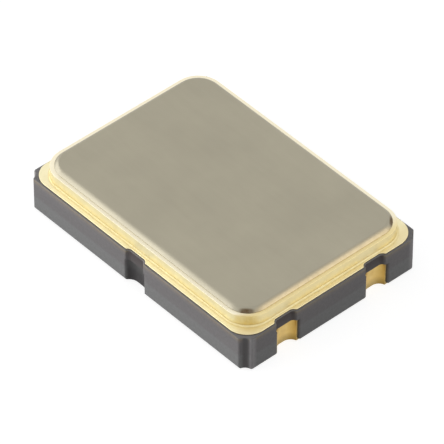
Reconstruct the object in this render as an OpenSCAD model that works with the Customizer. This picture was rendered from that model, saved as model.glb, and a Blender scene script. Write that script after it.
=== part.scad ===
// Crystal resonator in a seam-sealed ceramic package.
// Millimetres. X runs along the package, Y across it, Z up from the solder lands.

/* [Package] */
// Length of the ceramic
package_l = 7.0; // [6.6:0.1:7.6]
// Width of the ceramic
package_w = 5.0; // [4.6:0.1:5.6]

/* [Ceramic body] */
// Thickness of the base sheet
base_h = 0.62; // [0.4:0.01:0.8]
// Thickness of the wall sheet round the cavity
wall_h = 0.27; // [0.25:0.01:0.6]
// Thickness of the wall between cavity and outside
wall_t = 0.75; // [0.72:0.01:0.9]
// Corner radius of the cavity
cavity_r = 0.3; // [0.15:0.05:0.5]
// Radius of the round notch at each corner
corner_notch_r = 0.18; // [0.12:0.01:0.22]

/* [Side notches] */
// Distance of a short side's notches from the long sides
notch_inset = 1.23; // [1.1:0.01:1.35]
// Width of a notch at the outside of the base sheet
base_notch_w = 0.62; // [0.61:0.01:0.7]
// Depth of a short side's notch in the base sheet
base_notch_d = 0.25; // [0.2:0.01:0.26]
// Depth of a long side's notch in the base sheet
base_long_d = 0.15; // [0.12:0.01:0.2]
// Radius at the ends of a notch in the base sheet
base_notch_r = 0.25; // [0.22:0.01:0.28]
// Width of a notch at the outside of the wall sheet
wall_notch_w = 0.56; // [0.4:0.02:0.6]
// Depth of a short side's notch in the wall sheet
wall_notch_d = 0.09; // [0.05:0.005:0.1]
// Depth of a long side's notch in the wall sheet
wall_long_d = 0.07; // [0.05:0.005:0.1]
// Radius at the ends of a notch in the wall sheet
wall_notch_r = 0.1; // [0.1:0.01:0.15]
// Sideways offset of the wall sheet as it was laid on the base sheet
sheet_shift = -0.06; // [-0.1:0.01:0.1]

/* [Terminals] */
// Thickness of the plated metal
plating_t = 0.03; // [0.02:0.005:0.05]
// Length of a solder land
land_l = 1.2; // [0.9:0.05:1.5]
// Width of a solder land
land_w = 1.4; // [1:0.05:1.7]
// Bare ceramic between a solder land and the end of the package
land_margin = 0.06; // [0.04:0.01:0.1]
// Width of the run of metal between the sheets
run_w = 0.3; // [0.2:0.02:0.36]
// Diameter of a via through the wall sheet
via_d = 0.16; // [0.1:0.01:0.2]
// Distance of a via from the end of the package
via_inset = 0.45; // [0.4:0.01:0.5]

/* [Bonding pads] */
// Length of a bonding pad
pad_l = 0.7; // [0.5:0.05:0.9]
// Height of a bonding pad above the cavity floor
pad_h = 0.06; // [0.05:0.005:0.09]
// Distance of a bonding pad from the cavity wall at its end
pad_inset = 0.2; // [0.1:0.02:0.3]
// Distance of a bonding pad from the cavity wall at its side
pad_side = 0.3; // [0.2:0.02:0.36]
// How far a bonding pad reaches inward past its adhesive dot
pad_reach = 0.3; // [0.26:0.02:0.4]

/* [Seal] */
// Thickness of the fired metal frame
metal_t = 0.03; // [0.02:0.005:0.05]
// Bare ceramic round the fired metal frame
metal_margin = 0.035; // [0.02:0.005:0.04]
// Corner radius of the fired metal frame
metal_r = 0.5; // [0.45:0.05:0.65]
// Bare ceramic between the fired metal frame and the cavity
metal_lip = 0.05; // [0.03:0.01:0.08]
// Thickness of the braze under the ring
braze_t = 0.02; // [0.02:0.005:0.04]
// Size of the braze fillet round the ring
fillet = 0.04; // [0.03:0.005:0.08]
// Ledge from the end of the package to the ring
ring_inset = 0.175; // [0.16:0.005:0.2]
// Width of the ring wall
ring_w = 0.45; // [0.35:0.01:0.48]
// Height of the ring
ring_h = 0.26; // [0.15:0.01:0.35]
// Corner radius outside the ring
ring_r = 0.6; // [0.5:0.05:0.7]
// Corner radius inside the ring
ring_bore_r = 0.25; // [0.15:0.05:0.35]

/* [Lid] */
// Thickness of the lid
lid_t = 0.1; // [0.06:0.01:0.16]
// Rim of the ring left bare outside the lid
lid_inset = 0.085; // [0.05:0.005:0.11]
// Corner radius of the lid
lid_r = 0.54; // [0.45:0.01:0.7]
// Width of the bevel along the lid edge
bevel_w = 0.1; // [0.06:0.01:0.14]
// Upright edge of the lid below its bevel
edge_h = 0.01; // [0.005:0.005:0.04]

/* [Quartz plate] */
// Resonant frequency in megahertz
frequency = 20; // [10:1:30]
// Room between the held end of the quartz plate and the cavity wall
plate_inset = 0.3; // [0.25:0.01:0.35]
// Room between the free end of the quartz plate and the cavity wall
plate_free = 0.8; // [0.5:0.05:1]
// Room between a side of the quartz plate and the cavity wall
plate_side = 0.45; // [0.35:0.05:0.5]
// Bare quartz between the round electrodes and a side of the plate
electrode_margin = 0.35; // [0.25:0.05:0.4]
// Thickness of the electrode films
electrode_t = 0.02; // [0.01:0.005:0.03]
// Width of the electrode tails
tail_w = 0.5; // [0.4:0.02:0.6]
// Diameter of an adhesive dot at the pad
dot_d = 0.44; // [0.3:0.02:0.46]
// Distance of an adhesive dot from the side of the plate
dot_inset = 0.55; // [0.5:0.01:0.6]
// Thickness of an adhesive dot
dot_t = 0.05; // [0.03:0.005:0.08]

/* [Hidden] */
// Shear mode constant of the quartz cut, thickness times frequency
cut_constant = 1.67;
$fn = 64;

// Heights, from the solder side up
z_base = plating_t;
z_floor = z_base + base_h;
z_rim = z_floor + wall_h;
z_braze = z_rim + metal_t;
z_ring = z_braze + braze_t;
z_lid = z_ring + ring_h;
z_dot = z_floor + pad_h;
z_under = z_dot + dot_t;
z_plate = z_under + electrode_t;
plate_t = cut_constant / frequency;
z_top = z_plate + plate_t;

// Cavity and ring in plan
cavity_l = package_l - 2 * wall_t;
cavity_w = package_w - 2 * wall_t;
ring_l = package_l - 2 * ring_inset;
ring_wd = package_w - 2 * ring_inset;
lid_l = ring_l - 2 * lid_inset;
lid_w = ring_wd - 2 * lid_inset;

// A notch is one side of an oblong hole, punched across the cutting line between two packages
base_notch = [base_notch_w, base_notch_d, base_notch_r];
wall_notch = [wall_notch_w, wall_notch_d, wall_notch_r];
notch_y = package_w / 2 - notch_inset;

// Quartz plate and its held end
plate_l = cavity_l - plate_inset - plate_free;
plate_w = cavity_w - 2 * plate_side;
plate_x0 = -cavity_l / 2 + plate_inset;
plate_x = plate_x0 + plate_l / 2;
electrode_d = plate_w - 2 * electrode_margin;
pad_x0 = -cavity_l / 2 + pad_inset;
pad_x1 = pad_x0 + pad_l;
dot_x = (plate_x0 + pad_x1) / 2;
dot_y = plate_w / 2 - dot_inset;
pad_gap = dot_y - pad_reach;
pad_w = cavity_w / 2 - pad_side - pad_gap;

gold = [0.87, 0.74, 0.42];

// Flat rectangle with round corners, centred
module round_rect(l, w, r) {
  square([l - 2 * r, w], center = true);
  square([l, w - 2 * r], center = true);
  for (sx = [-1, 1], sy = [-1, 1])
    translate([sx * (l / 2 - r), sy * (w / 2 - r)])
      circle(r = r);
}

// Carries a section, drawn outward from the corner centre, round a rectangle with round corners
module carry_round(l, w, r) {
  for (s = [0, 180]) {
    rotate([0, 0, s])
      translate([(l - 2 * r) / 2, w / 2 - r, 0])
        rotate([90, 0, -90])
          mirror([1, 0, 0])
            linear_extrude(height = l - 2 * r)
              children();
    rotate([0, 0, s])
      translate([l / 2 - r, (w - 2 * r) / 2, 0])
        rotate([90, 0, 0])
          linear_extrude(height = w - 2 * r)
            children();
  }
  for (c = [[1, 1, 0], [-1, 1, 90], [-1, -1, 180], [1, -1, 270]])
    translate([c[0] * (l / 2 - r), c[1] * (w / 2 - r), 0])
      rotate([0, 0, c[2]])
        rotate_extrude(angle = 90)
          children();
}

// Oblong cut of one notch in a side at x = 0, grown by g
module notch_cut(notch, g = 0) {
  d = notch[1];
  r = notch[2];
  half = notch[0] / 2 - sqrt(r * r - (r - d) * (r - d));
  for (s = [-1, 1])
    translate([r - d, s * half])
      circle(r = r + g);
  translate([-d - g, -half])
    square([r + g, 2 * half]);
}

// Cuts of the notches in all four sides, grown by g
module side_cuts(notch, long_d, shift, g = 0) {
  for (sx = [-1, 1], sy = [-1, 1])
    translate([sx * package_l / 2, sy * notch_y + shift])
      rotate(sx > 0 ? 0 : 180)
        notch_cut(notch, g);
  for (sy = [-1, 1])
    translate([0, sy * package_w / 2])
      rotate(sy > 0 ? 90 : 270)
        notch_cut([notch[0], long_d, notch[2]], g);
}

// Round cuts at the corners
module corner_cuts() {
  for (sx = [-1, 1], sy = [-1, 1])
    translate([sx * package_l / 2, sy * package_w / 2])
      circle(r = corner_notch_r);
}

// Plan of the run of metal that leaves a notch at the end +X and stops at x
module run_plan(x) {
  difference() {
    translate([x, -run_w / 2])
      square([package_l / 2 - base_notch_d / 2 - x, run_w]);
    translate([package_l / 2, 0])
      notch_cut(base_notch, -plating_t);
  }
}

// Run of metal on the base sheet
module run_metal(x) {
  translate([0, 0, z_floor])
    linear_extrude(height = plating_t)
      run_plan(x);
}

// Run and via of a case terminal
module case_metal() {
  run_metal(package_l / 2 - via_inset);
  translate([package_l / 2 - via_inset, 0, z_floor])
    cylinder(d = via_d, h = wall_h);
}

// Solder land and notch lining at the end +X
module outer_metal() {
  linear_extrude(height = plating_t)
    difference() {
      translate([package_l / 2 - land_margin - land_l, -land_w / 2])
        square([land_l, land_w]);
      translate([package_l / 2, 0])
        notch_cut(base_notch, -plating_t);
    }
  linear_extrude(height = z_floor)
    difference() {
      intersection() {
        translate([package_l / 2, 0])
          notch_cut(base_notch);
        translate([package_l / 2 - 2 * base_notch_d, -base_notch_w])
          square([2 * base_notch_d, 2 * base_notch_w]);
      }
      translate([package_l / 2, 0])
        notch_cut(base_notch, -plating_t);
    }
}

// Places a terminal at its notch: 1 and 4 at the end -X, 1 and 2 on the side -Y
module at_notch(sx, sy) {
  translate([0, sy * notch_y, 0])
    mirror([sx < 0 ? 1 : 0, 0, 0])
      children();
}

// Bonding pad on the cavity floor, on the side sy
module bonding_pad(sy) {
  translate([pad_x0, sy > 0 ? pad_gap : -pad_gap - pad_w, z_floor])
    cube([pad_l, pad_w, pad_h]);
}

module ceramic_body() {
  color([0.36, 0.36, 0.37])
    difference() {
      union() {
        translate([0, 0, z_base])
          linear_extrude(height = base_h)
            difference() {
              square([package_l, package_w], center = true);
              corner_cuts();
              side_cuts(base_notch, base_long_d, 0);
            }
        translate([0, 0, z_floor])
          linear_extrude(height = wall_h)
            difference() {
              square([package_l, package_w], center = true);
              corner_cuts();
              side_cuts(wall_notch, wall_long_d, sheet_shift);
              round_rect(cavity_l, cavity_w, cavity_r);
            }
      }
      at_notch(-1, -1)
        run_metal(cavity_l / 2);
      at_notch(1, -1)
        case_metal();
      at_notch(1, 1)
        run_metal(cavity_l / 2);
      at_notch(-1, 1)
        case_metal();
    }
}

module terminal_1() {
  color(gold) {
    at_notch(-1, -1) {
      outer_metal();
      run_metal(-pad_x1);
    }
    bonding_pad(-1);
  }
}

module terminal_2() {
  color(gold)
    at_notch(1, -1) {
      outer_metal();
      case_metal();
    }
}

module terminal_3() {
  color(gold) {
    at_notch(1, 1) {
      outer_metal();
      run_metal(pad_x0);
    }
    bonding_pad(1);
  }
}

module terminal_4() {
  color(gold)
    at_notch(-1, 1) {
      outer_metal();
      case_metal();
    }
}

module seal_metallization() {
  color(gold)
    translate([0, 0, z_rim])
      linear_extrude(height = metal_t)
        difference() {
          round_rect(package_l - 2 * metal_margin, package_w - 2 * metal_margin, metal_r);
          side_cuts(wall_notch, wall_long_d, sheet_shift, metal_margin);
          round_rect(cavity_l + 2 * metal_lip, cavity_w + 2 * metal_lip, cavity_r + metal_lip);
        }
}

// Flat braze under the ring and a hollow fillet against its outside wall
module braze_frame() {
  blunt = fillet / 8;
  color([0.8, 0.72, 0.5])
    translate([0, 0, z_braze]) {
      linear_extrude(height = braze_t)
        difference() {
          round_rect(ring_l, ring_wd, ring_r);
          round_rect(ring_l - 2 * ring_w, ring_wd - 2 * ring_w, ring_bore_r);
        }
      carry_round(ring_l, ring_wd, ring_r)
        difference() {
          translate([ring_r, 0])
            square([fillet, fillet]);
          translate([ring_r + fillet + blunt, fillet + blunt])
            circle(r = fillet);
        }
    }
}

module seal_ring() {
  color(gold)
    translate([0, 0, z_ring])
      linear_extrude(height = ring_h)
        difference() {
          round_rect(ring_l, ring_wd, ring_r);
          round_rect(ring_l - 2 * ring_w, ring_wd - 2 * ring_w, ring_bore_r);
        }
}

module lid() {
  color([0.65, 0.63, 0.57])
    translate([0, 0, z_lid]) {
      linear_extrude(height = lid_t)
        square([lid_l - 2 * lid_r, lid_w - 2 * lid_r], center = true);
      carry_round(lid_l, lid_w, lid_r)
        polygon([[0, 0], [lid_r, 0], [lid_r, edge_h], [lid_r - bevel_w, lid_t], [0, lid_t]]);
    }
}

module quartz_blank() {
  color([0.85, 0.88, 0.9])
    translate([plate_x0, -plate_w / 2, z_plate])
      cube([plate_l, plate_w, plate_t]);
}

// Plan of a round electrode with its tail to x, on the side sy
module electrode_plan(sy, x) {
  translate([plate_x, 0])
    circle(d = electrode_d);
  translate([x, sy * dot_y - tail_w / 2])
    square([plate_x - x, tail_w]);
}

// The upper film folds over the end of the plate and lies against its underside
module electrode_top() {
  fold_x = plate_x0 - electrode_t;
  color([0.88, 0.88, 0.86]) {
    translate([0, 0, z_top])
      linear_extrude(height = electrode_t)
        electrode_plan(1, fold_x);
    translate([fold_x, dot_y - tail_w / 2, z_under])
      cube([electrode_t, tail_w, plate_t + 2 * electrode_t]);
    translate([fold_x, dot_y - tail_w / 2, z_under])
      cube([pad_x1 - fold_x, tail_w, electrode_t]);
  }
}

module electrode_bottom() {
  color([0.88, 0.88, 0.86])
    translate([0, 0, z_under])
      linear_extrude(height = electrode_t)
        electrode_plan(-1, plate_x0);
}

// Dot of adhesive, waisted between pad and plate
module adhesive_dot(sy) {
  color([0.6, 0.58, 0.54])
    translate([dot_x, sy * dot_y, z_dot])
      rotate_extrude()
        difference() {
          square([dot_d / 2, dot_t]);
          translate([dot_d / 2 + dot_t * 0.6, dot_t / 2])
            circle(r = dot_t * 0.75);
        }
}

module adhesive_dot_1() {
  adhesive_dot(-1);
}

module adhesive_dot_2() {
  adhesive_dot(1);
}

ceramic_body();
terminal_1();
terminal_2();
terminal_3();
terminal_4();
seal_metallization();
braze_frame();
seal_ring();
lid();
quartz_blank();
electrode_top();
electrode_bottom();
adhesive_dot_1();
adhesive_dot_2();
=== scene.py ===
"""Looks of the crystal resonator: fine meshes for the pieces that show, materials, light and camera.

Meshes are worked out in millimetres and scaled to metres at the end. X runs along the package, Y across it.
"""
import math

import bmesh
import bpy
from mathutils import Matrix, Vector
from mathutils.geometry import delaunay_2d_cdt

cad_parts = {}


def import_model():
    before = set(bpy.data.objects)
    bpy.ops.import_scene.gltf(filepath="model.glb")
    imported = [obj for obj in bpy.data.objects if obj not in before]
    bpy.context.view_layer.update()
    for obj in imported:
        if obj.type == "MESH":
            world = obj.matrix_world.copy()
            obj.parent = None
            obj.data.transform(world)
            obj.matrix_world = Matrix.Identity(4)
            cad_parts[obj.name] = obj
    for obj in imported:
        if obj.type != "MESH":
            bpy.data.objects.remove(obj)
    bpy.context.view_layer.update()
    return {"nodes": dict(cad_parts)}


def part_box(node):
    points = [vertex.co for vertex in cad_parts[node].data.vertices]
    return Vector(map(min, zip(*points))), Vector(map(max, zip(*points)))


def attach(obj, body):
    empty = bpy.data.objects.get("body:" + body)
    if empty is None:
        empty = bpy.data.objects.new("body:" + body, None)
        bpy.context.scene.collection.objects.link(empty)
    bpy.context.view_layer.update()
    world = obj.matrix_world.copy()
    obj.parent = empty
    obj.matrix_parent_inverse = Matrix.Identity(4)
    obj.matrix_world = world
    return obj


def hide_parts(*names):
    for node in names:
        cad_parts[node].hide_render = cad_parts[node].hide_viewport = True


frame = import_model()

MM = 0.001      # metres in a millimetre


# Sizes

def box_mm(node):
    """Lowest and highest corner of a CAD node, in millimetres."""
    low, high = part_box(node)
    return low / MM, high / MM


body_low, body_high = box_mm("ceramic_body")
metal_low, metal_high = box_mm("seal_metallization")
braze_low, braze_high = box_mm("braze_frame")
ring_low, ring_high = box_mm("seal_ring")
lid_low, lid_high = box_mm("lid")
pad_high = box_mm("terminal_1")[1]        # inner upper corner of the pad of terminal 1
pad_start = box_mm("terminal_3")[0].x     # both pads start here in X
via_top = box_mm("terminal_2")[1].z

# Half length and half width of each piece
body_half = (body_high.x, body_high.y)
metal_half = (metal_high.x, metal_high.y)
ring_half = (ring_high.x, ring_high.y)
lid_half = (lid_high.x, lid_high.y)

# Notches, as in the solids
notch_inset = 1.23                   # from a long side to the middle of the nearest notch in a short side
notch_y = body_half[1] - notch_inset
base_notch = (0.62, 0.25, 0.25)      # width, depth, radius at the ends
base_notches = (base_notch, (0.62, 0.15, 0.25))      # in the short and the long sides
wall_notches = ((0.56, 0.09, 0.1), (0.56, 0.07, 0.1))
sheet_shift = -0.06                  # wall sheet's notches lie this far from the base sheet's, along Y
corner_notch_r = 0.18

# Heights and walls
plating_t = body_low.z
base_h = 0.62
z_floor = body_low.z + base_h
wall_t = 0.75
cavity_half = (body_half[0] - wall_t, body_half[1] - wall_t)
cavity_r = 0.3
metal_r = 0.5
metal_lip = 0.05
ring_r = 0.6
ring_bore_r = 0.25
ring_w = 0.45
lid_r = 0.54
lid_bevel = 0.1
lid_curve = (0.75, 1.25)       # insets of the middle and the end point of the bevel's curve, in lid_bevels
lid_edge = 0.01                # upright edge under the bevel

# Terminals
land_l = 1.2
land_w = 1.4
land_margin = 0.06
lining_lip = 0.06              # lining ends this far inside the end of the package
run_w = 0.3
via_d = 0.16
via_inset = 0.45
via_x = body_half[0] - via_inset
pad_w = 1.0
run_stop = 0.1                 # run of terminal 3 ends this far short of the far edge of its pad

# Rounding of the edges
ceramic_edge = 0.025
foot_edge = 0.04
long_edge = 0.09               # worn lower edges of the long sides
notch_edge = 0.045
corner_edge = 0.06
plating_edge = 0.012
ring_edge = 0.005
block_edge = 0.004
sharp_angle = 32               # edges that turn by more degrees stay sharp

# Painted highlights and shade, and marks on the metal: where each change of colour starts and ends
# Painted highlight on the eased edges at the corners of the short sides
edge_highlight_end = (0.03, 0.07)      # in from the ends of the ceramic
edge_highlight_side = (0.24, 0.34)     # in from its long sides
# Painted shade in the notches, darker towards the bottom under the overhang
notch_reach = (0.02, 0.07)     # in from its nearest side, in a notch
# Painted shade in the corner grooves
groove_reach = (0.05, 0.1)     # in from its nearest side, in a corner groove
corner_reach = (0.25, 0.4)     # in from the farther of its two sides, at a corner
# Painted shade: the seal's gold darkens towards the end +X
gold_shade_along_x = (3.0, 3.22)     # along X
# Painted shade: the pale rim fades towards the end +X
rim_highlight_fades = (2.95, 3.25)    # along X
pale_rim_h = 0.03                # down from the ring's rim
dull_patch = (0.1, 0.01)       # in from the ring's corner at +X and -Y
# Painted shade on the terminals, low down
terminal_shade = (0.05, 0.22)  # up from the undersides of the lands
corner_spot_in = (-0.12, -0.07)     # across the rim of the lid's corners, which is 0
corner_spot_side = (0.14, 0.26)     # along that rim, from the middle of the corner
straw_tint = (lid_half[0] - 0.11, lid_half[0] - 0.03)     # along X

# Steps of the arcs
ease_steps = 4
cut_steps = 12
lining_steps = 14
frame_steps = 16
round_steps = 20
worn_steps = 4

# Limits below which points are one and faces have no area
flat_gap = 1e-7
weld_gap = 1e-5
sliver_area = 2e-6


# Outlines in plan, as lists of (x, y) that run anticlockwise

def arc(cx, cy, r, start, end, steps):
    """Points on an arc, both ends included. Angles in degrees."""
    turn = [math.radians(start + (end - start) * i / steps) for i in range(steps + 1)]
    return [(cx + r * math.cos(a), cy + r * math.sin(a)) for a in turn]


def notch_half(notch):
    """Half length of the flat bottom of a notch."""
    width, depth, r = notch
    return width / 2 - math.sqrt(r * r - (r - depth) ** 2)


def eased(cut_t, cut_r, line_t, ease):
    """Offset and angle of the small arc that eases the edge between a straight side and a round cut."""
    drop = cut_t - (line_t - ease)
    return math.sqrt((cut_r + ease) ** 2 - drop ** 2), math.degrees(math.asin(drop / (cut_r + ease)))


def notch_points(s, half_t, inset, notch, ease):
    """A notch at s in a side at half_t, all set in by inset. Points are (along, outward)."""
    _, depth, r = notch
    flat = notch_half(notch)
    cut_t = half_t + r - depth
    line_t = half_t - inset
    soft = ease - inset
    offset, angle = eased(cut_t, r + inset, line_t, soft)
    return (arc(s - flat - offset, line_t - soft, soft, 90, angle, ease_steps)
            + arc(s - flat, cut_t, r + inset, 180 + angle, 270, cut_steps)[1:]
            + arc(s + flat, cut_t, r + inset, 270, 360 - angle, cut_steps)
            + arc(s + flat + offset, line_t - soft, soft, 180 - angle, 90, ease_steps)[1:])


def hollow_corner(half_s, half_t, inset, r, ease):
    """Corner with a round notch, from one side to the next."""
    soft = ease - inset
    offset, angle = eased(half_t, r + inset, half_t - inset, soft)
    return (arc(half_s - offset, half_t - inset - soft, soft, 90, angle, ease_steps)
            + arc(half_s, half_t, r + inset, 180 + angle, 270 - angle, cut_steps)[1:]
            + arc(half_s - inset - soft, half_t - offset, soft, 90 - angle, 0, ease_steps)[1:])


def outline(half, corner, notches=None, inset=0.0, shift=0.0):
    """Closed outline of a rectangle.

    corner(half_s, half_t) gives a corner's points. Notches are those in the short and the long sides
    of the package; a smaller outline keeps its distance from them.
    """
    points = []
    for side in range(4):
        long_side = side % 2 == 1
        half_t, half_s = (half[1], half[0]) if long_side else half
        turn = math.radians(90 * side)
        local = []
        if notches:
            edge = body_half[1] if long_side else body_half[0]
            along = shift if side == 0 else -shift
            places = [0.0] if long_side else [along - notch_y, along + notch_y]
            for s in places:
                local += notch_points(s, edge, inset + edge - half_t, notches[long_side],
                                      notch_edge + edge - half_t)
        local += corner(half_s, half_t)
        for s, t in local:
            points.append((t * math.cos(turn) - s * math.sin(turn), t * math.sin(turn) + s * math.cos(turn)))
    return points


def body_outline(notches, inset=0.0, shift=0.0):
    """Outline of a ceramic sheet."""
    def corner(half_s, half_t):
        return hollow_corner(half_s, half_t, inset, corner_notch_r, corner_edge)
    return outline(body_half, corner, notches, inset, shift)


def metal_outline(inset=0.0):
    """Outer outline of the fired metal frame."""
    def corner(half_s, half_t):
        return arc(half_s - metal_r, half_t - metal_r, metal_r - inset, 90, 0, frame_steps)
    return outline(metal_half, corner, wall_notches, inset, sheet_shift)


def round_outline(half, r):
    """Outline of a rectangle with round corners."""
    def corner(half_s, half_t):
        return arc(half_s - r, half_t - r, r, 90, 0, round_steps)
    return outline(half, corner)


# Mesh helpers

def ring_of(bm, points, z):
    """Vertices of one outline at height z."""
    return [bm.verts.new((x, y, z)) for x, y in points]


def skin(bm, rings, closed=False):
    """Quads between rings of vertices that have the same count."""
    pairs = list(zip(rings, rings[1:]))
    if closed:
        pairs.append((rings[-1], rings[0]))
    for a, b in pairs:
        n = len(a)
        for i in range(n):
            j = (i + 1) % n
            bm.faces.new((a[i], a[j], b[j], b[i]))


def encloses(ring, x, y):
    """Whether a ring of vertices runs round the point (x, y)."""
    inside = False
    for a, b in zip(ring, ring[1:] + ring[:1]):
        if (a.co.y > y) != (b.co.y > y) and x < a.co.x + (y - a.co.y) * (b.co.x - a.co.x) / (b.co.y - a.co.y):
            inside = not inside
    return inside


def flat_between(bm, outer, inner):
    """Flat face between two rings at one height, with the inner one as a hole."""
    verts = outer + inner
    n, m = len(outer), len(inner)
    edges = [(i, (i + 1) % n) for i in range(n)] + [(n + i, n + (i + 1) % m) for i in range(m)]
    points, _, faces, source, _, _ = delaunay_2d_cdt([v.co.xy for v in verts], edges, [], 0, flat_gap)
    for face in faces:
        x, y = sum((points[i] for i in face), Vector((0, 0))) / len(face)
        if encloses(outer, x, y) and not encloses(inner, x, y):
            bm.faces.new([verts[source[i][0]] for i in face])


def rounding(size, steps=4):
    """(inset, drop) pairs of a rounded edge, from the side up to the face."""
    turn = [math.radians(90 * i / steps) for i in range(steps + 1)]
    return [(size * (1 - math.cos(a)), size * (1 - math.sin(a))) for a in turn]


def block(bm, low, high):
    """Small box with bevelled edges."""
    made = bmesh.ops.create_cube(bm, size=1.0)["verts"]
    for v in made:
        for i in range(3):
            v.co[i] = high[i] if v.co[i] > 0 else low[i]
    edges = list({e for v in made for e in v.link_edges})
    bmesh.ops.bevel(bm, geom=edges, offset=block_edge, segments=2, profile=0.5, affect="EDGES")


def weld(bm):
    """Joins points that meet, and takes out faces without area by splitting the edge that they lie along."""
    def slivers():
        return [f for f in bm.faces if f.calc_area() < sliver_area]

    bmesh.ops.remove_doubles(bm, verts=bm.verts, dist=weld_gap)
    while thin := slivers():
        edge = max(thin[0].edges, key=lambda e: e.calc_length())
        start, end = edge.verts
        along = end.co - start.co
        for middle in thin[0].verts:
            share = (middle.co - start.co).dot(along) / along.length_squared
            if middle not in edge.verts and 0 < share < 1:
                break
        _, made = bmesh.utils.edge_split(edge, start, share)
        bmesh.ops.weld_verts(bm, targetmap={made: middle})
    # Quads that took up extra points
    wide = [f for f in bm.faces if len(f.verts) in (5, 6)]
    bmesh.ops.triangulate(bm, faces=wide, ngon_method="BEAUTY")


def piece(name, bm, node, materials):
    """Turns a mesh in millimetres into a piece that stands for a CAD node."""
    bmesh.ops.recalc_face_normals(bm, faces=bm.faces)
    bmesh.ops.scale(bm, vec=(MM, MM, MM), verts=bm.verts)
    mesh = bpy.data.meshes.new(name)
    bm.to_mesh(mesh)
    bm.free()
    for face in mesh.polygons:
        face.use_smooth = True
    mesh.set_sharp_from_angle(angle=math.radians(sharp_angle))
    made = bpy.data.objects.new(name, mesh)
    bpy.context.scene.collection.objects.link(made)
    for m in materials:
        mesh.materials.append(m)
    weights = made.modifiers.new("normals", "WEIGHTED_NORMAL")
    weights.keep_sharp = True
    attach(made, "root")
    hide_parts(node)


# Materials

class Nodes:
    """A material's node tree, with short calls to add and join nodes."""

    def __init__(self, name):
        self.material = bpy.data.materials.new(name)
        self.material.use_nodes = True
        self.tree = self.material.node_tree
        self.shader = self.tree.nodes["Principled BSDF"]
        self.place = self.add("ShaderNodeTexCoord").outputs["Object"]

    def add(self, kind, **values):
        node = self.tree.nodes.new(kind)
        for key, value in values.items():
            setattr(node, key, value)
        return node

    def join(self, a, b):
        self.tree.links.new(a, b)

    def noise(self, scale, detail=4.0, rough=0.55, stretch=(1, 1, 1)):
        """Noise with features about 1 / scale millimetres across."""
        mapping = self.add("ShaderNodeMapping")
        mapping.inputs["Scale"].default_value = tuple(scale / MM * s for s in stretch)
        self.join(self.place, mapping.inputs["Vector"])
        noise = self.add("ShaderNodeTexNoise")
        noise.inputs["Scale"].default_value = 1.0
        noise.inputs["Detail"].default_value = detail
        noise.inputs["Roughness"].default_value = rough
        self.join(mapping.outputs["Vector"], noise.inputs["Vector"])
        return noise.outputs["Fac"]

    def ramp(self, value, stops):
        """Colour ramp with stops of (place, colour)."""
        ramp = self.add("ShaderNodeValToRGB")
        self.join(value, ramp.inputs["Fac"])
        band = ramp.color_ramp
        while len(band.elements) < len(stops):
            band.elements.new(0.5)
        for element, (place, colour) in zip(band.elements, stops):
            element.position = place
            element.color = (*colour, 1.0)
        return ramp.outputs["Color"]

    def span(self, value, low, high, start=0.3, end=0.7):
        """Value from start..end to low..high."""
        node = self.add("ShaderNodeMapRange")
        node.inputs["From Min"].default_value = start
        node.inputs["From Max"].default_value = end
        node.inputs["To Min"].default_value = low
        node.inputs["To Max"].default_value = high
        self.join(value, node.inputs["Value"])
        return node.outputs["Result"]

    def span_mm(self, value, low, high, limits):
        """Place between two limits in millimetres to low..high."""
        return self.span(value, low, high, limits[0] * MM, limits[1] * MM)

    def axis(self, name):
        """Place along an axis, in metres."""
        node = self.add("ShaderNodeSeparateXYZ")
        self.join(self.place, node.inputs["Vector"])
        return node.outputs[name]

    def facing(self, name):
        """Part of the surface normal along an axis."""
        node = self.add("ShaderNodeSeparateXYZ")
        self.join(self.add("ShaderNodeNewGeometry").outputs["Normal"], node.inputs["Vector"])
        return node.outputs[name]

    def upright(self):
        """1 on upright faces, 0 on level ones."""
        return self.span(self.math("ABSOLUTE", self.facing("Z")), 1, 0, 0.3, 0.6)

    def math(self, operation, *values):
        """Arithmetic on outputs and numbers."""
        node = self.add("ShaderNodeMath", operation=operation)
        for value, socket in zip(values, node.inputs):
            if isinstance(value, (int, float)):
                socket.default_value = value
            else:
                self.join(value, socket)
        return node.outputs["Value"]

    def mix(self, factor, a, b, blend="MIX"):
        """Colours a and b mixed by a factor."""
        node = self.add("ShaderNodeMix", data_type="RGBA", blend_type=blend)
        for value, socket in ((factor, node.inputs[0]), (a, node.inputs[6]), (b, node.inputs[7])):
            if isinstance(value, (int, float)):
                socket.default_value = value
            elif isinstance(value, tuple):
                socket.default_value = (*value, 1.0)
            else:
                self.join(value, socket)
        return node.outputs[2]

    def bump(self, value, height):
        """Bump of the given height in millimetres."""
        node = self.add("ShaderNodeBump")
        node.inputs["Strength"].default_value = 1.0
        node.inputs["Distance"].default_value = height * MM
        self.join(value, node.inputs["Height"])
        self.join(node.outputs["Normal"], self.shader.inputs["Normal"])

    def colour(self, output):
        self.join(output, self.shader.inputs["Base Color"])

    def roughness(self, output):
        self.join(output, self.shader.inputs["Roughness"])

    def put(self, **values):
        """Constants on the shader's own sockets."""
        for key, value in values.items():
            self.shader.inputs[key.replace("_", " ")].default_value = value


def srgb(r, g, b):
    """Linear colour of an sRGB colour given in 0..255."""
    def line(v):
        v /= 255
        return v / 12.92 if v <= 0.04045 else ((v + 0.055) / 1.055) ** 2.4
    return tuple(line(v) for v in (r, g, b))


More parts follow.
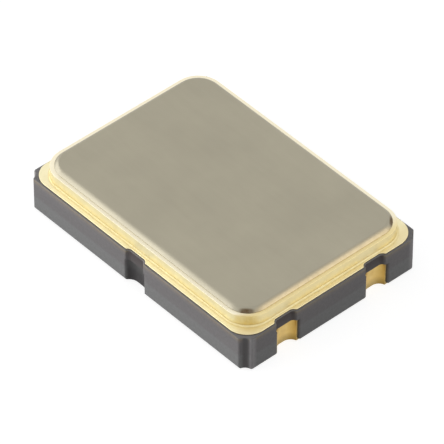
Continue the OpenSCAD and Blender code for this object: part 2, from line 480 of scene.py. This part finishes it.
def alumina():
    """Dark fired alumina, matt and finely speckled.

    It is paler at the upper edge, paler at the corners of the short sides with a painted highlight on their
    eased edges, and darker in the notches and corner grooves with painted shade.
    """
    n = Nodes("alumina")
    upright = n.upright()
    height = n.math("ADD", n.axis("Z"), n.span(n.noise(6), -0.008 * MM, 0.008 * MM))
    share = n.span_mm(height, 0, 1, (0.0, body_high.z))
    tone = n.ramp(share, [
        (0.0, srgb(134, 134, 134)), (0.45, srgb(136, 136, 136)), (0.52, srgb(130, 127, 128)),
        (0.84, srgb(130, 127, 128)), (0.93, srgb(142, 135, 130)), (0.985, srgb(158, 147, 126))])
    tone = n.mix(upright, srgb(132, 130, 131), tone)
    grain = n.ramp(n.noise(16, 6), [(0.3, (0.86, 0.86, 0.86)), (0.7, (1.0, 1.0, 1.0))])

    # How far a point lies in from the ends and from the long sides
    reach = [n.math("SUBTRACT", half * MM, n.math("ABSOLUTE", n.axis(axis)))
             for half, axis in zip(body_half, "XY")]
    nearest = n.math("MINIMUM", *reach)
    # Painted highlight: upright faces paler at the corners of the short sides
    painted_edge_highlight = n.math("MULTIPLY", n.span_mm(reach[0], 1, 0, edge_highlight_end), n.span_mm(reach[1], 1, 0, edge_highlight_side))
    tone = n.mix(n.math("MULTIPLY", painted_edge_highlight, upright), tone, srgb(162, 159, 160))
    # Painted shade: the notches are darker, most of all low down under the overhang
    deep = n.span_mm(nearest, 0, 1, notch_reach)
    along = n.span_mm(n.math("MAXIMUM", *reach), 0, 1, corner_reach)
    notch = n.math("MULTIPLY", n.math("MULTIPLY", deep, along), upright)
    # Painted shade: the corner grooves are darker
    groove = n.math("MULTIPLY", n.math("SUBTRACT", 1.0, along), upright)
    groove = n.math("MULTIPLY", n.span_mm(nearest, 0, 1, groove_reach), groove)
    painted_notch_shade = n.ramp(share, [
        (0.0, srgb(68, 66, 67)), (0.35, srgb(74, 72, 73)), (0.6, srgb(98, 98, 97)), (0.72, srgb(98, 93, 93)),
        (0.95, srgb(84, 77, 76))])
    sides = n.mix(notch, n.mix(1.0, tone, grain, "MULTIPLY"), painted_notch_shade)
    n.colour(n.mix(groove, sides, srgb(101, 99, 99)))
    n.roughness(n.span(n.noise(30), 0.6, 0.78))
    n.bump(n.noise(40, 5), 0.0012)
    n.put(Specular_IOR_Level=0.3)
    return n.material


def gold(name, *tones):
    """Satin gold plating of the seal, in three tones of gold, with painted shade that darkens it at the end
    +X.
    """
    n = Nodes(name)
    tone = n.ramp(n.noise(5, 5), [(0.3, tones[0]), (0.5, tones[1]), (0.7, tones[2])])
    # Painted shade towards the end +X
    tone = n.mix(n.span_mm(n.axis("X"), 0, 1, gold_shade_along_x), tone, (0.96, 0.92, 0.84), "MULTIPLY")
    n.roughness(n.span(n.noise(9), 0.5, 0.56))
    n.bump(n.noise(10, 3, stretch=(1, 1, 0.08)), 0.002)
    n.put(Metallic=1.0)
    return n, tone


def ledge_gold():
    """Plating of the fired metal frame."""
    n, tone = gold("ledge_gold", srgb(244, 235, 195), srgb(247, 238, 200), srgb(250, 241, 205))
    n.colour(tone)
    return n.material


def ring_gold():
    """Plating of the ring, paler along the rim: partly bleached by the weld, partly a painted highlight.

    The pale rim is less pale at the end +X, as painted shade, and the corner at +X and -Y is dull and
    streaked.
    """
    n, tone = gold("ring_gold", srgb(239, 228, 185), srgb(242, 232, 190), srgb(245, 236, 196))
    corner = ring_half[0] + ring_half[1] - 2 * ring_r + ring_r * math.sqrt(2)
    dull = n.span_mm(n.math("SUBTRACT", n.axis("X"), n.axis("Y")), 0, 1, [corner - d for d in dull_patch])
    streak = n.span(n.noise(11, 4, stretch=(1, 1, 0.2)), 0.45, 1.0, 0.35, 0.6)
    tone = n.mix(n.math("MULTIPLY", dull, streak), tone, srgb(227, 205, 137))
    # Pale rim, partly weld bleaching and partly a painted highlight, fading towards +X as painted shade
    rim_bleach_and_highlight = n.mix(n.span_mm(n.axis("X"), 0, 1, rim_highlight_fades), srgb(251, 243, 218), srgb(243, 226, 172))
    rim_bleach_and_highlight = n.mix(n.math("MULTIPLY", dull, 0.8), rim_bleach_and_highlight, srgb(222, 199, 134))
    rim = n.span_mm(n.axis("Z"), 0, 1, (ring_high.z - pale_rim_h, ring_high.z))
    n.colour(n.mix(rim, tone, rim_bleach_and_highlight))
    return n.material


def braze():
    """Dull gold of the braze fillet."""
    n = Nodes("braze")
    n.colour(n.ramp(n.noise(7, 4), [(0.3, srgb(234, 221, 175)), (0.7, srgb(241, 230, 187))]))
    n.roughness(n.span(n.noise(12), 0.65, 0.75))
    n.bump(n.noise(18, 3), 0.002)
    n.put(Metallic=1.0)
    return n.material


def terminal_gold():
    """Gold plating of the terminals, with painted shade low down and at the sides of a notch."""
    n = Nodes("terminal_gold")
    tone = n.ramp(n.noise(6, 5), [
        (0.3, srgb(216, 184, 113)), (0.5, srgb(222, 191, 120)), (0.7, srgb(228, 200, 131))])
    # Painted shade on the sides of a notch, the faces that look along Y
    tone = n.mix(n.span(n.math("ABSOLUTE", n.facing("Y")), 0, 1, 0.3, 1.0), tone, srgb(188, 153, 76))
    # Painted shade low down on upright faces, a little lighter near the top
    shade = n.span_mm(n.axis("Z"), 0.6, 1.03, terminal_shade)
    n.colour(n.mix(n.upright(), tone, shade, "MULTIPLY"))
    n.roughness(n.span(n.noise(9), 0.3, 0.4))
    n.bump(n.noise(22, 4), 0.002)
    n.put(Metallic=1.0)
    return n.material


def metal_edge():
    """Bare brown edge of the fired metal frame."""
    n = Nodes("metal_edge")
    n.colour(n.ramp(n.noise(20), [(0.35, srgb(96, 76, 46)), (0.65, srgb(128, 106, 68))]))
    n.roughness(n.span(n.noise(30), 0.5, 0.65))
    n.put(Metallic=0.6)
    return n.material


def nickel():
    """Satin nickel of the lid, with a faint rolled grain.

    It has a straw tint along the end +X and a brown spot at the two corners there.
    """
    n = Nodes("nickel_lid")
    sheen = n.ramp(n.noise(0.7, 3), [(0.3, srgb(168, 162, 144)), (0.7, srgb(174, 168, 149))])
    away = [n.math("SUBTRACT", place, (half - lid_r + lid_r / math.sqrt(2)) * MM)
            for place, half in zip((n.axis("X"), n.math("ABSOLUTE", n.axis("Y"))), lid_half)]
    inward = n.span_mm(n.math("ADD", *away), 0, 1, corner_spot_in)
    sideways = n.span_mm(n.math("ABSOLUTE", n.math("SUBTRACT", *away)), 1, 0, corner_spot_side)
    near = n.math("MULTIPLY", inward, sideways)
    patchy = n.span(n.noise(7, 3), 0.6, 1.0)
    straw = n.span_mm(n.axis("X"), 0, 1, straw_tint)
    sheen = n.mix(straw, sheen, srgb(185, 169, 136))
    n.colour(n.mix(n.math("MULTIPLY", near, patchy), sheen, srgb(96, 74, 46)))
    n.roughness(n.span(n.noise(6, stretch=(0.15, 1, 1)), 0.36, 0.44))
    n.bump(n.noise(30, 4, stretch=(0.25, 1, 1)), 0.0005)
    n.put(Metallic=1.0)
    return n.material


def quartz():
    """Lapped quartz plate, clear with a faint haze."""
    n = Nodes("quartz")
    n.colour(n.ramp(n.noise(3), [(0.3, srgb(236, 240, 242)), (0.7, srgb(246, 248, 249))]))
    n.roughness(n.span(n.noise(12), 0.12, 0.24))
    n.put(IOR=1.544, Transmission_Weight=0.9)
    return n.material


def silver():
    """Bright silver film."""
    n = Nodes("silver_film")
    n.colour(n.ramp(n.noise(4), [(0.3, srgb(214, 213, 208)), (0.7, srgb(226, 225, 221))]))
    n.roughness(n.span(n.noise(10), 0.18, 0.28))
    n.put(Metallic=1.0)
    return n.material


def adhesive():
    """Matt adhesive filled with silver flakes."""
    n = Nodes("silver_adhesive")
    n.colour(n.ramp(n.noise(40), [(0.35, srgb(128, 124, 118)), (0.65, srgb(176, 173, 167))]))
    n.roughness(n.span(n.noise(50), 0.5, 0.75))
    n.bump(n.noise(45), 0.003)
    n.put(Metallic=0.4)
    return n.material


# Pieces

def ceramic_body(material):
    """The fired box: base sheet, overhanging wall sheet and cavity."""
    def worn(points, drop):
        """Sets the long sides in where their lower edges are worn round."""
        rise = max(0.0, 1 - drop / long_edge)
        limit = body_half[1] - long_edge * (1 - math.sqrt(1 - rise * rise))
        return [(x, max(-limit, min(limit, y))) for x, y in points]

    bm = bmesh.new()
    rings = []
    for inset, drop in reversed(rounding(foot_edge)):
        rings.append(ring_of(bm, worn(body_outline(base_notches, inset), drop), body_low.z + drop))
    for i in range(1, worn_steps + 1):
        drop = foot_edge + (long_edge - foot_edge) * i / worn_steps
        rings.append(ring_of(bm, worn(body_outline(base_notches), drop), body_low.z + drop))
    rings.append(ring_of(bm, body_outline(base_notches), z_floor))
    rings.append(ring_of(bm, body_outline(wall_notches, 0, sheet_shift), z_floor))
    for inset, drop in rounding(ceramic_edge):
        rings.append(ring_of(bm, body_outline(wall_notches, inset, sheet_shift), body_high.z - drop))
    skin(bm, rings)
    bm.faces.new(rings[0])
    brim = ring_of(bm, round_outline(cavity_half, cavity_r), body_high.z)
    floor = ring_of(bm, round_outline(cavity_half, cavity_r), z_floor)
    flat_between(bm, rings[-1], brim)
    skin(bm, [brim, floor])
    bm.faces.new(floor)
    weld(bm)
    piece("ceramic_body_fired", bm, "ceramic_body", [material])


def seal_metallization(face, edge):
    """The fired metal frame, with its bare outer edge."""
    bm = bmesh.new()
    outer = [ring_of(bm, metal_outline(), metal_low.z)]
    for inset, drop in rounding(plating_edge, 3):
        outer.append(ring_of(bm, metal_outline(inset), metal_high.z - drop))
    hole = (cavity_half[0] + metal_lip, cavity_half[1] + metal_lip)
    inner = [ring_of(bm, round_outline(hole, cavity_r + metal_lip), z) for z in (metal_high.z, metal_low.z)]
    skin(bm, outer[:2])
    side = list(bm.faces)
    skin(bm, outer[1:])
    flat_between(bm, outer[-1], inner[0])
    skin(bm, inner)
    flat_between(bm, outer[0], inner[1])
    for f in side:
        f.material_index = 1
    piece("seal_metal_frame", bm, "seal_metallization", [face, edge])


def braze_frame(material):
    """Braze under the ring with a hollow fillet round it."""
    bm = bmesh.new()
    foot = braze_high.x - ring_half[0]
    lip = foot / 8      # height of the fillet's outer edge
    bore = (ring_half[0] - ring_w, ring_half[1] - ring_w)
    def grown(by, z):
        half = (ring_half[0] + by, ring_half[1] + by)
        return ring_of(bm, round_outline(half, ring_r + by), z)
    rings = [ring_of(bm, round_outline(bore, ring_bore_r), braze_low.z), grown(foot, braze_low.z)]
    for angle in range(270, 179, -15):
        a = math.radians(angle)
        rings.append(grown(foot + lip + foot * math.cos(a), braze_low.z + foot + lip + foot * math.sin(a)))
    rings.append(grown(0, braze_high.z))
    rings.append(grown(0, ring_low.z))
    rings.append(ring_of(bm, round_outline(bore, ring_bore_r), ring_low.z))
    skin(bm, rings, closed=True)
    piece("braze_fillet", bm, "braze_frame", [material])


def seal_ring(material):
    """The ring, with a soft upper edge."""
    bm = bmesh.new()
    bore = (ring_half[0] - ring_w, ring_half[1] - ring_w)
    rings = [ring_of(bm, round_outline(bore, ring_bore_r), z) for z in (ring_high.z, ring_low.z)]
    rings.append(ring_of(bm, round_outline(ring_half, ring_r), ring_low.z))
    for inset, drop in rounding(ring_edge):
        half = (ring_half[0] - inset, ring_half[1] - inset)
        rings.append(ring_of(bm, round_outline(half, ring_r - inset), ring_high.z - drop))
    skin(bm, rings, closed=True)
    piece("welded_seal_ring", bm, "seal_ring", [material])


def lid(material):
    """The lid, with a bevel that rolls over into the flat top."""
    bm = bmesh.new()
    steps = 8
    rise = lid_high.z - lid_low.z - lid_edge
    profile = [(0.0, lid_low.z)]
    for i in range(steps + 1):
        t = i / steps
        inset = lid_bevel * (2 * lid_curve[0] * t * (1 - t) + lid_curve[1] * t * t)
        profile.append((inset, lid_high.z - rise * (1 - t) ** 2))
    rings = []
    for inset, z in profile:
        half = (lid_half[0] - inset, lid_half[1] - inset)
        rings.append(ring_of(bm, round_outline(half, lid_r - inset), z))
    skin(bm, rings)
    bm.faces.new(rings[0])
    bm.faces.new(rings[-1])
    piece("welded_lid", bm, "lid", [material])


def notch_loop(grow, end):
    """The cut of a base notch at the end +X, grown by grow and kept inside end. Points are (x, y)."""
    _, depth, r = base_notch
    flat = notch_half(base_notch)
    cut_x = body_half[0] + r - depth
    turn = math.degrees(math.acos((cut_x - end) / (r + grow)))
    return (arc(cut_x, flat, r + grow, 180 - turn, 180, lining_steps)
            + arc(cut_x, -flat, r + grow, 180, 180 + turn, lining_steps))


def notch_lining(bm, sx, sy):
    """Plating down one notch, from the land up to the wall sheet."""
    end = body_half[0] - lining_lip
    outer, inner = notch_loop(0, end), notch_loop(-plating_t, end)
    loop = outer + inner[::-1]
    rings = [ring_of(bm, [(sx * x, sy * notch_y + y) for x, y in loop], z) for z in (plating_t, z_floor)]
    skin(bm, rings)
    for ring in rings:
        for i in range(len(outer) - 1):
            bm.faces.new((ring[i], ring[i + 1], ring[-2 - i], ring[-1 - i]))


def solder_land(bm, sx, sy):
    """Land under the package, cut round the notch."""
    end_x = body_half[0] - land_margin
    start_x = end_x - land_l
    def plan(inset):
        loop = [(start_x + inset, -land_w / 2 + inset), (end_x - inset, -land_w / 2 + inset)]
        loop += notch_loop(-plating_t, end_x)[::-1]
        loop += [(end_x - inset, land_w / 2 - inset), (start_x + inset, land_w / 2 - inset)]
        return [(sx * x, sy * notch_y + y) for x, y in loop]
    rings = [ring_of(bm, plan(0), plating_t)]
    for inset, drop in rounding(plating_edge, 3):
        rings.append(ring_of(bm, plan(inset), drop))
    skin(bm, rings)
    bm.faces.new(rings[0])
    bm.faces.new(rings[-1])


def terminal(number, material):
    """One terminal: land, notch lining, run between the sheets, and its pad or via."""
    sx = -1 if number in (1, 4) else 1
    sy = -1 if number in (1, 2) else 1
    y = sy * notch_y
    run_end = body_half[0] - base_notch[1]
    bm = bmesh.new()
    solder_land(bm, sx, sy)
    notch_lining(bm, sx, sy)
    def run(x):
        low, high = sorted((x, sx * run_end))
        block(bm, (low, y - run_w / 2, z_floor), (high, y + run_w / 2, z_floor + plating_t))
    if number in (1, 3):
        pad_y = sorted((sy * abs(pad_high.y), sy * (abs(pad_high.y) + pad_w)))
        block(bm, (pad_start, pad_y[0], z_floor), (pad_high.x, pad_y[1], pad_high.z))
        run(pad_high.x if number == 1 else pad_start + run_stop)
    else:
        run(sx * via_x)
        bar = bmesh.ops.create_cone(bm, cap_ends=True, segments=24, radius1=via_d / 2, radius2=via_d / 2,
                                    depth=via_top - z_floor)["verts"]
        bmesh.ops.translate(bm, vec=(sx * via_x, y, (via_top + z_floor) / 2), verts=bar)
    piece(f"terminal_{number}_metal", bm, f"terminal_{number}", [material])


# Stage

# Light: levels where 1 is white
FLOOR_LIFT = 0.83
FLOOR_MIRRORED = 0.82         # share of the lift that reflections show
ROOM_LEVEL = 0.92
ROOM_SLOPE = (-0.13, 0.0, 0.0)
ROOM_LIGHT = 0.08
LIGHT_SLOPE = (0.0, 0.0, 0.5)

# Floor: its size in metres, and how far it lies under the lands in millimetres
FLOOR_SIZE = 2.0
FLOOR_DROP = 0.01

# View of the photo: angles in degrees, lengths in millimetres, pixels of a 444 pixel frame
VIEW_AZIMUTH = 48.205
VIEW_ELEVATION = 43.088
VIEW_DISTANCE = 111.781
VIEW_HEIGHT = 0.6
FRAME_PX = 444
FOCAL_PX = 5229.341
SHIFT_PX = (0.483, 7.285)     # how far the object sits right of and above the middle of the frame


def seen_ray(tree, mirrored=1.0):
    """1 on rays from the camera or a clear piece, mirrored on reflections, 0 on rays that carry light."""
    path = tree.nodes.new("ShaderNodeLightPath")
    last = path.outputs["Is Camera Ray"]
    for name, part in (("Is Glossy Ray", mirrored), ("Is Transmission Ray", 1.0)):
        share = tree.nodes.new("ShaderNodeMath")
        share.operation = "MULTIPLY"
        share.inputs[1].default_value = part
        tree.links.new(path.outputs[name], share.inputs[0])
        node = tree.nodes.new("ShaderNodeMath")
        node.operation = "MAXIMUM"
        tree.links.new(last, node.inputs[0])
        tree.links.new(share.outputs[0], node.inputs[1])
        last = node.outputs[0]
    return last


def floor_material():
    """Grey floor, lifted so that it is seen as white and keeps the shadow."""
    n = Nodes("floor")
    n.colour(n.ramp(n.noise(0.05), [(0.3, (0.37, 0.37, 0.37)), (0.7, (0.39, 0.39, 0.39))]))
    n.put(Roughness=0.9, Specular_IOR_Level=0.0, Emission_Color=(1, 1, 1, 1))
    lift = n.math("MULTIPLY", seen_ray(n.tree, FLOOR_MIRRORED), FLOOR_LIFT)
    n.join(lift, n.shader.inputs["Emission Strength"])
    return n.material


def floor():
    """Large floor just under the lands."""
    bm = bmesh.new()
    bmesh.ops.create_grid(bm, x_segments=4, y_segments=4, size=FLOOR_SIZE)
    mesh = bpy.data.meshes.new("floor")
    bm.to_mesh(mesh)
    bm.free()
    made = bpy.data.objects.new("floor", mesh)
    bpy.context.scene.collection.objects.link(made)
    mesh.materials.append(floor_material())
    made.location.z = -FLOOR_DROP * MM


def world():
    """Soft white room, dimmer towards +X. Its light on matt surfaces is lower and comes from above."""
    made = bpy.data.worlds.new("studio")
    bpy.context.scene.world = made
    made.use_nodes = True
    tree = made.node_tree
    tree.nodes.clear()
    out = tree.nodes.new("ShaderNodeOutputWorld")
    back = tree.nodes.new("ShaderNodeBackground")
    place = tree.nodes.new("ShaderNodeTexCoord")
    def slope(level, rise):
        """Level that rises along a direction, kept within 0..1."""
        along = tree.nodes.new("ShaderNodeVectorMath")
        along.operation = "DOT_PRODUCT"
        along.inputs[1].default_value = rise
        tree.links.new(place.outputs["Generated"], along.inputs[0])
        add = tree.nodes.new("ShaderNodeMath")
        add.use_clamp = True
        add.inputs[1].default_value = level
        tree.links.new(along.outputs["Value"], add.inputs[0])
        return add.outputs[0]
    pick = tree.nodes.new("ShaderNodeMix")
    tree.links.new(seen_ray(tree), pick.inputs[0])
    tree.links.new(slope(ROOM_LIGHT, LIGHT_SLOPE), pick.inputs[2])
    tree.links.new(slope(ROOM_LEVEL, ROOM_SLOPE), pick.inputs[3])
    tree.links.new(pick.outputs[0], back.inputs["Strength"])
    tree.links.new(back.outputs[0], out.inputs["Surface"])
    back.inputs["Color"].default_value = (1, 1, 1, 1)


def direction(azimuth, elevation):
    """Unit vector from the object towards an azimuth and elevation, as the views count them."""
    a, e = math.radians(azimuth), math.radians(elevation)
    return Vector((math.sin(a) * math.cos(e), -math.cos(a) * math.cos(e), math.sin(e)))


def softbox(name, azimuth, elevation, size, radiance, distance=0.12):
    """Soft light of the given width and height that shines on the object with the given radiance."""
    data = bpy.data.lights.new(name, "AREA")
    data.shape = "RECTANGLE"
    data.size, data.size_y = size
    data.energy = radiance * math.pi * size[0] * size[1]
    made = bpy.data.objects.new(name, data)
    bpy.context.scene.collection.objects.link(made)
    towards = direction(azimuth, elevation)
    made.location = towards * distance
    made.rotation_euler = towards.to_track_quat("Z", "Y").to_euler()
    made.visible_camera = False
    return made


def lights():
    """A key light on matt surfaces, a gleam in reflections, and a side light in both."""
    softbox("key", azimuth=-52, elevation=11, size=(0.2, 0.042), radiance=6.5).visible_glossy = False
    softbox("gleam", azimuth=-52, elevation=18.5, size=(0.2, 0.08), radiance=1.45).visible_diffuse = False
    softbox("side", azimuth=122, elevation=24, size=(0.09, 0.06), radiance=1.5)


def camera():
    """The photo's view and crop."""
    data = bpy.data.cameras.new("camera")
    data.sensor_fit = "HORIZONTAL"
    data.lens = FOCAL_PX / FRAME_PX * data.sensor_width
    data.clip_start = 0.005
    made = bpy.data.objects.new("camera", data)
    bpy.context.scene.collection.objects.link(made)
    back = direction(VIEW_AZIMUTH, VIEW_ELEVATION)
    turn = back.to_track_quat("Z", "Y")
    right, up = turn @ Vector((1, 0, 0)), turn @ Vector((0, 1, 0))
    per_px = VIEW_DISTANCE / FOCAL_PX
    aim = Vector((0, 0, VIEW_HEIGHT)) - right * SHIFT_PX[0] * per_px - up * SHIFT_PX[1] * per_px
    made.location = (aim + back * VIEW_DISTANCE) * MM
    made.rotation_euler = turn.to_euler()
    bpy.context.scene.camera = made


def build():
    """Makes the pieces that show, and gives the CAD solids inside their materials."""
    terminal_plate = terminal_gold()
    ceramic_body(alumina())
    seal_metallization(ledge_gold(), metal_edge())
    braze_frame(braze())
    seal_ring(ring_gold())
    lid(nickel())
    for number in (1, 2, 3, 4):
        terminal(number, terminal_plate)
    clear, film, glue = quartz(), silver(), adhesive()
    inside = {"quartz_blank": clear, "electrode_top": film, "electrode_bottom": film,
              "adhesive_dot_1": glue, "adhesive_dot_2": glue}
    for node, material in inside.items():
        slots = frame["nodes"][node].data.materials
        slots.clear()
        slots.append(material)


bpy.context.scene.view_settings.view_transform = "Standard"
build()
floor()
world()
lights()
camera()
